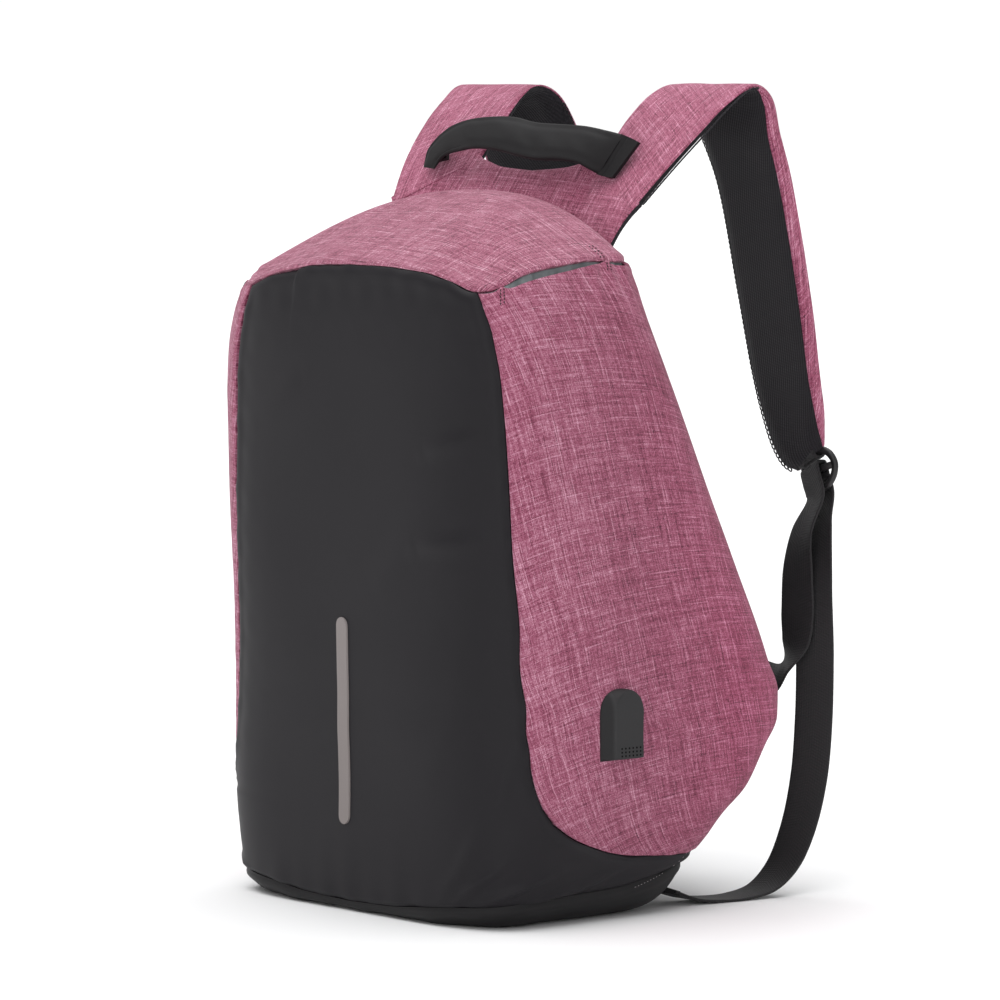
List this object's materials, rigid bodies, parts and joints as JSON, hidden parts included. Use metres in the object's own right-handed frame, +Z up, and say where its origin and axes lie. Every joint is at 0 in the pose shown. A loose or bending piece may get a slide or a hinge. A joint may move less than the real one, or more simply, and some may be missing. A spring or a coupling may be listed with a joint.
{
  "type": "backpack",
  "caption": "stuffed upright backpack with smooth black front, pink melange sides and top, side slit pockets, side socket cover, carry handle and two padded shoulder straps with hanging webbing",
  "frame": {"origin": "centre of the flat underside of the base, on the floor", "axes": "+Z up, the black front panel faces -Y, the wearer's back is toward +Y, the side with the socket cover is +X; x = 0 is the plane of symmetry apart from that cover"},
  "size_m": [0.308, 0.3008, 0.5165],
  "materials": {
    "melange_pink": "plain woven polyester with pale and dark slub threads",
    "coated_black": "smooth coated cloth with a soft sheen",
    "black_mesh": "padded spacer mesh with fine slanting ribs",
    "black_webbing": "flat woven webbing, slight sheen",
    "grey_lining": "thin plain lining",
    "reflective_grey": "warm grey reflective tape, dull from the side",
    "soft_rubber": "matt moulded rubber",
    "black_plastic": "moulded plastic"
  },
  "bodies": {
    "root": {"front_panel": "coated_black", "side_panel_right": "melange_pink", "side_panel_left": "melange_pink", "back_panel": "black_mesh", "base_panel": "coated_black", "top_panel": "melange_pink", "pocket_lining_right": "grey_lining", "pocket_lining_left": "grey_lining", "reflective_strip": "reflective_grey", "usb_cover": "soft_rubber", "strap_outer_right": "melange_pink", "strap_mesh_right": "black_mesh", "strap_outer_left": "melange_pink", "strap_mesh_left": "black_mesh", "yoke": "melange_pink", "carry_handle": "coated_black", "handle_tab_right": "black_webbing", "handle_tab_left": "black_webbing", "slider_right": "black_plastic", "strap_loop_right": "black_webbing", "webbing_right": "black_webbing", "webbing_tab_right": "coated_black", "slider_left": "black_plastic", "strap_loop_left": "black_webbing", "webbing_left": "black_webbing", "webbing_tab_left": "coated_black"}
  },
  "joints": []
}
